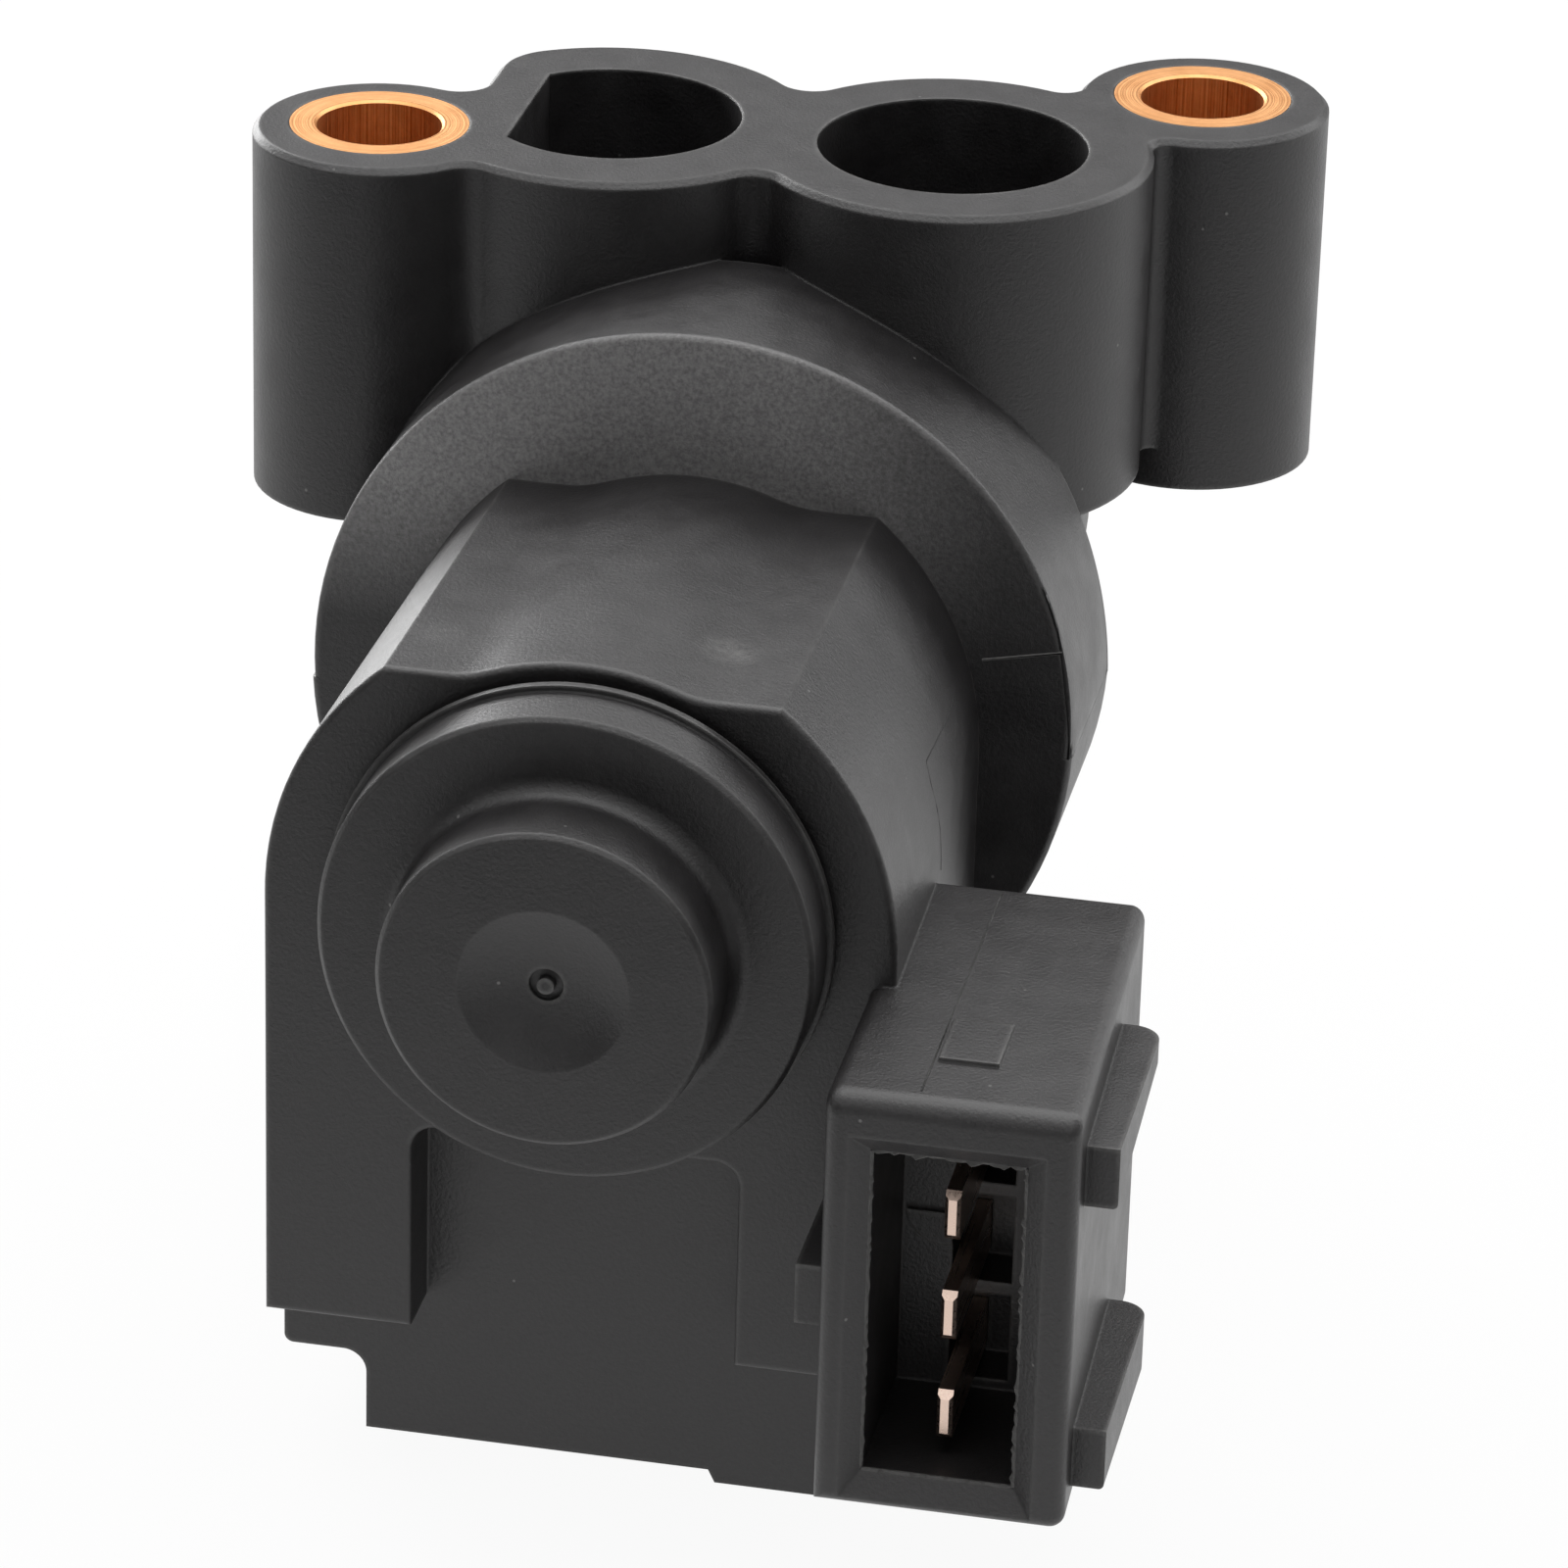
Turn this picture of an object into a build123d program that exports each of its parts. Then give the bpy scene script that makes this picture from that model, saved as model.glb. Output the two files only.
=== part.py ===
import os
from math import atan, degrees, sqrt

from build123d import *

# Idle air control valve with a rotary slide and a three-blade connector.
# Millimetres. +Z is the normal of the sealing face and +Y runs along the shaft, away from the cap.
# The origin lies on the sealing face, straight above the shaft.

# Sealing flange, bolts and ports
flange_side = 0.2
bolt_across = 43.8
bolt_stagger = 16.6
limiter_od = 10.0
limiter_bore = 7.0
limiter_edge = 0.15
boss_wall = 2.1
boss_side = 0.15
boss_forward = 0.4
flange_depth = 21.0
flange_edge = 0.35
port_spread = 19.3
port_line = -3.35
d_port_r = 7.2
round_port_r = 7.55
tube_r = 11.2
tube_depth = 18.6
d_flat = 4.9
d_wall = 3.1
d_corner_r = 4.0
valley_r = 1.6
notch_r = 1.0

# Shaft axis, disc and slide chamber; the port floors are heights over the shaft axis
boss_clear = 5.2
d_port_floor = 7.0
round_port_floor = 9.0
disc_r = 21.25
disc_front = -23.6
disc_thick = 12.3
disc_draft = 0.3
disc_side = -0.25
disc_lift = 0.3
disc_low_r = 21.35
disc_low_top = -1.0
disc_edge = 0.35
chamber_r = 14.3
chamber_wall = 2.2
chamber_set = 1.5
chamber_len = 23.1
cover_plug = 2.2
cover_rim = 1.5
cover_overlap = 0.9
cover_edge = 0.5
cover_dish_r = 8.0
cover_dish = 0.8
cover_dish_slope = 30.0

# Front cap
cap_r = 8.77
cap_len = 4.74
cap_fillet = 1.0
ring_r = 13.05
ring_len = 3.3
lip = 0.35
lip_len = 0.5
shadow_gap = 0.8
seat_r = 12.5
plug_wall = 1.35
plug_len = 2.4
dimple_r = 4.5
dimple_depth = 0.9
gate_r = 0.9
gate_depth = 0.3
pip_r = 0.45
pip_height = 0.25
cap_edge = 0.25

# Motor body
body_len = 26.9
body_side = -0.3
body_wall = 2.8
body_drop = 0.9
body_draft = 1.1
body_edge = 0.35
arch_margin = 0.6
arch_rise = 1.3
shoulder_half = 10.4
arch_blend = 6.0
neck_depth = 18.0
column_width = 8.0
column_depth = 25.75
recess = 3.7
recess_top = 13.7
recess_corner = 1.3
box_clear = 3.0
sole_inset = 0.1
sole_lap = 0.6
sole_height = 3.95
foot_inset = 4.67
foot_height = 4.7
heel_left = 6.85
heel_inset = 0.3
heel_step = 0.75
foot_corner = 0.5
foot_hollow = 1.3

# Connector shroud
conn_sink = 1.35
conn_width = 13.1
conn_draft = 0.75
conn_top = -2.3
conn_height = 23.7
conn_proud = 12.2
conn_len = 25.3
conn_edge = 0.8
conn_brow = 1.1
conn_top_edge = 0.5
conn_heel = 0.8
socket_wall_left = 1.3
socket_wall_right = 1.7
socket_wall_top = 2.3
socket_wall_bottom = 0.45
socket_depth = 10.5
lead_in = 1.1
lead_in_low = 1.4
lead_len = 0.9
window_left = 1.1
window_right = 2.05
window_under = 0.35
window_rib = 0.75
window_depth = 3.0
floor_pip_r = 1.95
floor_pip_in = 1.6
floor_pip_drop = 2.3
floor_pip_height = 0.3
key_pad_width = 3.1
key_pad_len = 4.5
key_pad_height = 0.22
key_pad_in = 6.5
key_pad_back = 4.8
latch_proud = 1.65
latch_height = 3.4
latch_len = 13.8
latch_back = 2.5
latch_round = 1.5
latch_edge = 0.3
latch_rise = 2.0
latch_drop = 2.6
latch_pitch = 16.3
left_latch_drop = 11.35

# Terminals
blade_in = 4.95
blade_drop = 5.6
blade_pitch = 5.8
blade_width = 2.8
blade_thick = 0.8
blade_recess = 3.45
tail_back = 4.0
tail_clear = 0.8
tip_side = 0.4
tip_face = 0.18

# Rotor
shaft_r = 2.5
shaft_edge = 0.4
shaft_flat = 0.5
hub_wall = 1.5
hub_tail = 0.6
hub_collar = 1.5
hub_collar_rise = 2.5
magnet_r = 8.0
magnet_len = 12.5
bush_wall = 2.0
bush_floor = 1.1
bush_stand = 1.0
front_bush_len = 5.4
rear_bush_len = 6.0
washer_lap = 0.4
front_washer = 0.7
rear_washer = 1.2
end_play = 0.3

# Stator and coil
air_gap = 0.5
stack_len = 9.0
leg_back = 0.9
leg_width = 4.0
pole_height = 7.0
core_depth = 25.0
core_height = 6.0
coil_cover = 1.2
bobbin_wall = 0.9
bobbin_flange = 1.0
winding_corner = 2.0

# Rotary slide; angles run from +Z towards -X
slide_wall = 1.7
slide_gap = 0.3
slide_hub_wall = 2.1
slide_web = 2.4
slide_half_angle = 45.0
slide_rest_angle = 75.0
slide_to_closed = 25.0
slide_to_open = 50.0
peg_r = 1.2
peg_in = 2.8
peg_clear = 0.4
stop_depth = 1.6
clip_width = 1.7
clip_thick = 0.6
clip_groove = 0.5

# Spigot and its seal
spigot_step = 2.3
spigot_len = 9.0
seal_section = 1.94
seal_offset = 3.4
seal_slack = 0.4

# Fits
press_gap = 0.03
running_gap = 0.03
mould_gap = 0.05

# Places along the shaft, from the cap to the rear cover
axis_drop = flange_depth + boss_clear
block_front = disc_front - body_len
lip_front = block_front - shadow_gap - lip_len
ring_front = lip_front - ring_len
cap_front = ring_front - cap_len
bush_front = cap_front + dimple_depth + bush_floor
cap_floor = bush_front + front_bush_len - bush_stand
front_washer_front = bush_front + front_bush_len + end_play
hub_front = front_washer_front + front_washer + 2 * press_gap
box_rear = disc_front - box_clear
stack_mid = (block_front + recess + box_rear) / 2
stack_front = stack_mid - stack_len / 2
magnet_front = stack_mid - magnet_len / 2
hub_rear = magnet_front + magnet_len + hub_tail
seal_centre = disc_front + seal_offset
spigot_end = disc_front + spigot_len
slide_front = spigot_end + end_play + rear_washer + 2 * press_gap
chamber_front = spigot_end + chamber_set
chamber_end = chamber_front + chamber_len
cover_seat = chamber_end - cover_rim
slide_rim_front = chamber_front + slide_gap
slide_rear = cover_seat - cover_plug - clip_thick - 3 * slide_gap
clip_front = slide_rear + press_gap
shaft_front = bush_front + end_play
shaft_rear = slide_rear + clip_thick + slide_gap + press_gap
conn_front = block_front - conn_proud
blade_tip = conn_front + blade_recess
socket_floor = conn_front + socket_depth

# Radii and widths from the shaft axis outwards
boss_r = limiter_od / 2 + boss_wall
hub_r = shaft_r + hub_wall
bush_r = shaft_r + bush_wall
washer_r = bush_r + washer_lap
stator_bore = magnet_r + air_gap
rotor_bore = stator_bore + mould_gap
plug_r = rotor_bore + plug_wall
leg_inner = stator_bore + leg_back
leg_outer = leg_inner + leg_width
spigot_r = chamber_r - spigot_step
groove_r = spigot_r + press_gap - seal_section
groove_width = seal_section + seal_slack
slide_r = chamber_r - slide_gap
slide_hub_r = shaft_r + slide_hub_wall
peg_circle = spigot_r - peg_in
arch_r = ring_r + lip + arch_margin
body_r = arch_r + body_wall
column_inner = body_r - column_width
conn_left = body_side + body_r - conn_sink
conn_right = conn_left + conn_width
socket_left = conn_left + socket_wall_left
socket_right = conn_right - socket_wall_right
blade_x = socket_left + blade_in

# Heights over and depths under the shaft axis
shoulder_height = arch_r - arch_rise
sole_depth = column_depth + sole_height
foot_depth = sole_depth + foot_height
conn_bottom = conn_top - conn_height
socket_top = conn_top - socket_wall_top
socket_bottom = conn_bottom + socket_wall_bottom
blade_heights = [socket_top - blade_drop - blade_pitch * row for row in range(3)]

# The windings fill the room that the moulding leaves them
coil_half_depth = (box_rear - block_front - recess) / 2 - coil_cover
coil_half_height = foot_depth - core_depth - coil_cover
winding_room = min(coil_half_depth - stack_len / 2, coil_half_height - core_height / 2)
winding_build = winding_room - bobbin_wall - 3 * press_gap
coil_x = leg_inner - mould_gap
coil_plane = Plane(origin=(0, stack_mid, -axis_drop - core_depth), x_dir=(0, 1, 0), z_dir=(1, 0, 0))
shaft_axis = Axis((0, 0, -axis_drop), (0, 1, 0))


def station(y, x=0.0):
    """Plane across the shaft at y, seen from the cap: local x is X, local y is height over the axis."""
    return Plane(origin=(x, y, -axis_drop), x_dir=(1, 0, 0), z_dir=(0, -1, 0))


def level(height):
    """Level plane at a height over the shaft axis."""
    return Plane.XY.offset(height - axis_drop)


def sleeve(outer_r, inner_r, front, length):
    """Plain turned ring on the shaft axis, from front backwards."""
    with BuildPart() as ring:
        with BuildSketch(station(front + length)):
            Circle(outer_r)
            Circle(inner_r, mode=Mode.SUBTRACT)
        extrude(amount=length)
    return ring


def limiter(x, y):
    """Brass sleeve that takes the bolt's load in one boss."""
    with BuildPart() as bush:
        with BuildSketch(Plane.XY.offset(-flange_depth)):
            with Locations((x, y)):
                Circle(limiter_od / 2)
                Circle(limiter_bore / 2, mode=Mode.SUBTRACT)
        extrude(amount=flange_depth)
        chamfer(bush.edges().filter_by(GeomType.CIRCLE).sort_by(SortBy.RADIUS)[:2], limiter_edge)
    return bush


def terminal(top, gap=0.0):
    """Flat blade that turns towards the coil at its embedded end; gap grows it into its pocket."""
    half = blade_thick / 2 + gap
    bend = socket_floor + tail_back
    tail_end = leg_inner + tail_clear
    with BuildPart() as strip:
        with BuildSketch(level(top - blade_width / 2 - gap)):
            with Locations((blade_x, (blade_tip + bend) / 2)):
                Rectangle(2 * half, bend - blade_tip + 2 * half)
            with Locations(((blade_x + tail_end) / 2, bend)):
                Rectangle(blade_x - tail_end + 2 * half, 2 * half)
        extrude(amount=blade_width + 2 * gap)
        if gap == 0.0:
            tip = strip.faces().sort_by(Axis.Y)[0]
            chamfer(tip.edges().filter_by(Axis.X), tip_side)
            tip = strip.faces().sort_by(Axis.Y)[0]
            chamfer(tip.edges().filter_by(Axis.Z), tip_face)
    return strip


def stator_leg(side, gap=0.0):
    """Laminated leg beside the rotor, with a pole face round the magnet; side is -1 or 1."""
    low = -core_depth - core_height / 2
    width = leg_outer - leg_inner + 2 * gap
    with BuildPart() as leg:
        with BuildSketch(station(stack_front + stack_len + gap)):
            with Locations((side * (leg_inner + leg_outer) / 2, (low + pole_height) / 2)):
                Rectangle(width, pole_height - low + 2 * gap)
            with Locations((side * leg_outer / 2, 0)):
                Rectangle(leg_outer, 2 * pole_height + 2 * gap)
            Circle(stator_bore - gap, mode=Mode.SUBTRACT)
            with Locations((-side * leg_outer / 2, 0)):
                Rectangle(leg_outer, 3 * pole_height, mode=Mode.SUBTRACT)
            with Locations((side * leg_inner / 4, 0)):
                Rectangle(leg_inner / 2, 3 * pole_height, mode=Mode.SUBTRACT)
        extrude(amount=stack_len + 2 * gap)
    return leg


def coil_ring(margin):
    """Length along the shaft and height of the core, grown by a margin all round."""
    return stack_len + 2 * margin, core_height + 2 * margin


def winding(left, right):
    """One winding on its half of the bobbin, between two flanges."""
    inner = bobbin_wall + 2 * press_gap
    with BuildPart() as coil:
        with BuildSketch(coil_plane.offset(left)):
            RectangleRounded(*coil_ring(inner + winding_build), winding_corner)
            Rectangle(*coil_ring(inner), mode=Mode.SUBTRACT)
        extrude(amount=right - left)
    return coil


# Sector of the slide at rest, and the track of its stop peg
slide_start = 90 + slide_rest_angle - slide_half_angle
with BuildSketch() as sector:
    with BuildLine():
        rim = CenterArc((0, 0), 2 * chamber_r, slide_start, 2 * slide_half_angle)
        Polyline(rim @ 1, (0, 0), rim @ 0)
    make_face()
slide_sector = sector.sketch_local
peg_start = 90 + slide_rest_angle - slide_to_closed
stop_track = CenterArc((0, 0), peg_circle, peg_start, slide_to_closed + slide_to_open)

# Valve body: the flange outline is two tubes and two bosses joined by hollow blends
left_bolt = (flange_side - bolt_across / 2, -bolt_stagger / 2)
right_bolt = (flange_side + bolt_across / 2, bolt_stagger / 2)
left_boss, right_boss = [(x + boss_side, y - boss_forward) for x, y in (left_bolt, right_bolt)]
d_port = (flange_side - port_spread / 2, port_line)
round_port = (flange_side + port_spread / 2, port_line)
d_flat_x = d_port[0] - d_flat
d_outer_flat = d_flat_x - d_wall
# Each round of the outline: its centre, its radius, the angle at which its circle starts and its blend
flange_rounds = [
    (round_port, tube_r, 180, valley_r),
    (left_boss, boss_r, 20, valley_r),
    (right_boss, boss_r, 225, notch_r),
]

# The lower half of the disc comes from the other half of the mould and is a little larger
with BuildPart() as disc_low:
    with BuildSketch(station(disc_front + disc_thick)):
        with Locations((disc_side, 0)):
            Circle(disc_low_r)
    extrude(amount=disc_thick)
    fillet(disc_low.edges().filter_by(GeomType.CIRCLE).sort_by(Axis.Y)[0], disc_edge)
    with BuildSketch(station(disc_front + disc_thick)):
        with Locations((disc_side, disc_low_top + disc_r)):
            Rectangle(4 * disc_r, 2 * disc_r)
    extrude(amount=disc_thick, mode=Mode.SUBTRACT)

with BuildPart() as valve_body:
    with BuildSketch() as flange_outline:
        with Locations(d_port):
            Circle(tube_r)
        with Locations((d_outer_flat - tube_r, port_line)):
            Rectangle(2 * tube_r, 4 * tube_r, mode=Mode.SUBTRACT)
        fillet(flange_outline.vertices().sort_by(Axis.X)[:2], d_corner_r)
        for centre, radius, seam, blend in flange_rounds:
            with Locations(Location((*centre, 0), (0, 0, seam))):
                Circle(radius)
            fillet(flange_outline.vertices(Select.LAST), blend)
    extrude(amount=-tube_depth)
    chamfer(valve_body.faces().sort_by(Axis.Z)[-1].edges(), flange_edge)
    with BuildSketch(Plane.XY.offset(-tube_depth / 2)):
        with Locations(left_boss, right_boss):
            Circle(boss_r)
    extrude(amount=tube_depth / 2 - flange_depth)
    with BuildSketch(station(disc_front + disc_thick)):
        with Locations((disc_side, disc_lift)):
            Circle(disc_r - disc_draft)
    extrude(amount=disc_thick, taper=-degrees(atan(disc_draft / disc_thick)))
    fillet(valve_body.edges().filter_by(GeomType.CIRCLE).sort_by(Axis.Y)[0], disc_edge)
    add(disc_low.part)
    with BuildSketch(station(chamber_end)):
        Circle(chamber_r + chamber_wall)
    extrude(amount=chamber_end - disc_front - disc_thick / 2)
    # Slide chamber, spigot bore and the two ports
    with BuildSketch(station(chamber_end)):
        Circle(chamber_r)
    extrude(amount=chamber_len, mode=Mode.SUBTRACT)
    with BuildSketch(station(chamber_end)):
        Circle(chamber_r + cover_overlap + press_gap)
    extrude(amount=cover_rim, mode=Mode.SUBTRACT)
    with BuildSketch(station(chamber_front)):
        Circle(spigot_r + press_gap)
    extrude(amount=chamber_front - disc_front, mode=Mode.SUBTRACT)
    with BuildSketch():
        with Locations(d_port):
            Circle(d_port_r)
        with Locations((d_flat_x - d_port_r, port_line)):
            Rectangle(2 * d_port_r, 4 * d_port_r, mode=Mode.SUBTRACT)
    extrude(amount=d_port_floor - axis_drop, mode=Mode.SUBTRACT)
    with BuildSketch():
        with Locations(round_port):
            Circle(round_port_r)
    extrude(amount=round_port_floor - axis_drop, mode=Mode.SUBTRACT)
    with BuildSketch():
        with Locations(left_bolt, right_bolt):
            Circle(limiter_od / 2 + press_gap)
    extrude(amount=-flange_depth, mode=Mode.SUBTRACT)
    # Way past the disc for the left bolt and its head
    with BuildSketch(Plane.XY.offset(-flange_depth)):
        with Locations(left_bolt):
            Circle(limiter_od / 2)
    extrude(amount=-2 * axis_drop, mode=Mode.SUBTRACT)

limiter_left = limiter(*left_bolt)
limiter_right = limiter(*right_bolt)

# Rear cover: a dished lid plugged into the chamber, with its rim let into the wall
with BuildPart() as rear_cover:
    with BuildSketch(station(cover_seat)):
        Circle(chamber_r - press_gap)
    extrude(amount=cover_plug)
    with BuildSketch(station(chamber_end)):
        Circle(chamber_r + cover_overlap)
    extrude(amount=cover_rim)
    chamfer(rear_cover.edges().filter_by(GeomType.CIRCLE).group_by(Axis.Y)[-1], cover_edge)
    with BuildSketch(station(chamber_end)):
        Circle(cover_dish_r)
    extrude(amount=cover_dish, taper=cover_dish_slope, mode=Mode.SUBTRACT)

# Terminals, and the pockets they leave in the moulding
terminals = [terminal(height) for height in blade_heights]
pockets = [terminal(height, press_gap) for height in blade_heights]
legs = [stator_leg(side) for side in (-1, 1)]
leg_pockets = [stator_leg(side, mould_gap) for side in (-1, 1)]

# Latch ribs on the connector's right; the underside of the upper one rises towards its rounded end
def latch_rib(top, rise):
    """Rib with its top at a height over the axis, and its underside rising by rise."""
    front = conn_front + latch_back
    with BuildPart() as rib:
        with BuildSketch(Plane.YZ.offset(conn_right - conn_draft)):
            with BuildLine():
                Polyline(
                    (front, top - axis_drop),
                    (front + latch_len, top - axis_drop),
                    (front + latch_len, top - axis_drop - latch_height + rise),
                    (front, top - axis_drop - latch_height),
                    close=True,
                )
            make_face()
        extrude(amount=conn_draft + latch_proud)
        outside = rib.faces().sort_by(Axis.X)[-1].edges()
        fillet(outside.sort_by(Axis.Y)[-1], latch_round)
        outside = rib.faces().sort_by(Axis.X)[-1].edges()
        fillet(outside.sort_by(Axis.Z)[0], latch_edge)
    return rib


upper_latch = conn_top - latch_drop
latch_ribs = [latch_rib(upper_latch, latch_rise), latch_rib(upper_latch - latch_pitch, 0.0)]

# Connector shroud with its latch ribs and key pad
with BuildPart() as connector:
    with BuildSketch(level(conn_bottom)):
        with BuildLine():
            Polyline(
                (conn_left, conn_front),
                (conn_right, conn_front),
                (conn_right - conn_draft, conn_front + conn_len),
                (conn_left, conn_front + conn_len),
                close=True,
            )
        make_face()
    extrude(amount=conn_top - conn_bottom)
    front_edges = connector.faces().sort_by(Axis.Y)[0].edges()
    fillet(front_edges.sort_by(Axis.Z)[-1], conn_brow)
    bottom_edges = connector.faces().sort_by(Axis.Z)[0].edges()
    fillet(bottom_edges.sort_by(Axis.X)[-1], conn_heel)
    fillet(connector.edges().filter_by(Axis.Z), conn_edge)
    fillet(connector.faces().sort_by(Axis.Z)[-1].edges().sort_by(Axis.Y)[-1], conn_top_edge)
    with BuildSketch(level(conn_top)):
        with Locations((conn_left + key_pad_in, conn_front + key_pad_back + key_pad_len / 2)):
            Rectangle(key_pad_width, key_pad_len)
    extrude(amount=key_pad_height)
    for rib in latch_ribs:
        add(rib.part)
    with BuildSketch(level(conn_top - left_latch_drop - latch_height)):
        with Locations((conn_left, (conn_front + latch_back + block_front) / 2)):
            Rectangle(2 * latch_proud, block_front - conn_front - latch_back)
    extrude(amount=latch_height)
    # Socket with a sloping lead-in, a half-round pip on its floor and a window beside each blade
    socket_middle = ((socket_left + socket_right) / 2, (socket_top + socket_bottom) / 2)
    socket_size = (socket_right - socket_left, socket_top - socket_bottom)
    inner_middle = (socket_middle[0], socket_middle[1] + (lead_in_low - lead_in) / 2)
    inner_size = (socket_size[0] - 2 * lead_in, socket_size[1] - lead_in - lead_in_low)
    with BuildSketch(station(socket_floor)):
        with Locations(inner_middle):
            Rectangle(*inner_size)
    extrude(amount=socket_depth, mode=Mode.SUBTRACT)
    with BuildSketch(station(conn_front + lead_len)):
        with Locations(inner_middle):
            Rectangle(*inner_size)
    with BuildSketch(station(conn_front)):
        with Locations(socket_middle):
            Rectangle(*socket_size)
    loft(mode=Mode.SUBTRACT)
    with BuildSketch(station(socket_floor + floor_pip_height)):
        with Locations((blade_x - floor_pip_in, blade_heights[0] - blade_width / 2 - floor_pip_drop)):
            Circle(floor_pip_r)
            with Locations((0, floor_pip_r)):
                Rectangle(2 * floor_pip_r, 2 * floor_pip_r, mode=Mode.SUBTRACT)
    extrude(amount=2 * floor_pip_height)
    window_height = blade_pitch - window_rib
    with BuildSketch(station(socket_floor + window_depth)):
        for height in blade_heights:
            bottom = height - blade_width / 2 - window_under
            with Locations((blade_x + (window_right - window_left) / 2, bottom + window_height / 2)):
                Rectangle(window_left + window_right, window_height)
    extrude(amount=window_depth + floor_pip_height, mode=Mode.SUBTRACT)

# Arched body over the coil box, with a panel let in between two columns
arch_x = sqrt(arch_r**2 - shoulder_height**2)
with BuildPart() as motor_body:
    with BuildSketch(station(block_front, body_side)) as arch:
        with BuildLine():
            wall = Line((body_r, -column_depth), (body_r, -body_drop))
            flank = TangentArc(wall @ 1, (shoulder_half, shoulder_height), tangent=(0, 1))
            Line(flank @ 1, (0, shoulder_height))
            Line(wall @ 0, (0, -column_depth))
            mirror(about=Plane.YZ)
        make_face()
        Circle(arch_r)
        valleys = arch.vertices().filter_by(lambda v: abs(abs(v.X) - arch_x) < mould_gap)
        fillet(valleys.group_by(Axis.Y)[-1], arch_blend)
    extrude(amount=-body_len, taper=body_draft)
    with BuildSketch(station(disc_front)):
        with Locations((0, -neck_depth - body_r)):
            Rectangle(3 * body_r, 2 * body_r)
    extrude(amount=box_clear, mode=Mode.SUBTRACT)
    with BuildSketch(station(block_front + recess, body_side)) as panel:
        with Locations((0, -(recess_top + column_depth) / 2 - recess_corner)):
            Rectangle(2 * column_inner, column_depth - recess_top + 2 * recess_corner)
        fillet(panel.vertices().group_by(Axis.Y)[-1], recess_corner)
    extrude(amount=recess, mode=Mode.SUBTRACT)
    fillet(motor_body.faces().sort_by(Axis.Y)[0].edges(), body_edge)

# Motor housing: arched body, coil box, foot plate, connector and spigot in one moulding
bobbin_margin = bobbin_wall + winding_build + 3 * press_gap
sole_half = body_r - sole_inset
foot_left = body_r - foot_inset
heel_right = body_r - heel_inset
sole_top = -column_depth + sole_lap
with BuildPart() as motor_housing:
    add(motor_body.part)
    with BuildSketch(station(box_rear, body_side)) as sole:
        with BuildLine():
            Polyline(
                (-sole_half, sole_top),
                (-sole_half, -sole_depth),
                (-foot_left, -sole_depth),
                (-foot_left, -foot_depth),
                (heel_left, -foot_depth),
                (heel_left + heel_step / 2, -foot_depth - heel_step),
                (heel_right, -foot_depth - heel_step),
                (heel_right, sole_top),
                close=True,
            )
        make_face()
        fillet(sole.vertices().sort_by(Axis.X)[2:4].sort_by(Axis.Y)[-1], foot_hollow)
        fillet(sole.vertices().sort_by(Axis.X)[:2].sort_by(Axis.Y)[0], foot_corner)
    extrude(amount=box_rear - block_front - recess)
    add(connector.part)
    # Spigot with its seal groove, the rotor bore and the seats of cap and bush
    with BuildSketch(station(spigot_end)):
        Circle(spigot_r)
    extrude(amount=spigot_len)
    with BuildSketch(station(seal_centre + groove_width / 2)):
        Circle(spigot_r + seal_section)
        Circle(groove_r, mode=Mode.SUBTRACT)
    extrude(amount=groove_width, mode=Mode.SUBTRACT)
    with BuildSketch(station(hub_rear + end_play)):
        Circle(rotor_bore)
    extrude(amount=hub_rear + end_play - block_front, mode=Mode.SUBTRACT)
    with BuildSketch(station(block_front + plug_len + mould_gap)):
        Circle(plug_r + press_gap)
    extrude(amount=plug_len + mould_gap, mode=Mode.SUBTRACT)
    with BuildSketch(station(spigot_end)):
        Circle(bush_r + press_gap)
    extrude(amount=rear_bush_len, mode=Mode.SUBTRACT)
    with BuildSketch(station(spigot_end)):
        Circle(shaft_r + end_play)
    extrude(amount=spigot_end - hub_rear, mode=Mode.SUBTRACT)
    # Curved groove that stops the slide's peg at both ends of its travel
    with BuildSketch(station(spigot_end)):
        SlotArc(stop_track, 2 * (peg_r + slide_gap))
    extrude(amount=stop_depth, mode=Mode.SUBTRACT)
    # Stator, coil and terminals are moulded in
    for pocket in leg_pockets + pockets:
        add(pocket.part, mode=Mode.SUBTRACT)
    with BuildSketch(coil_plane.offset(-leg_inner)):
        Rectangle(*coil_ring(bobbin_margin + mould_gap))
    extrude(amount=2 * leg_inner, mode=Mode.SUBTRACT)

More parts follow.
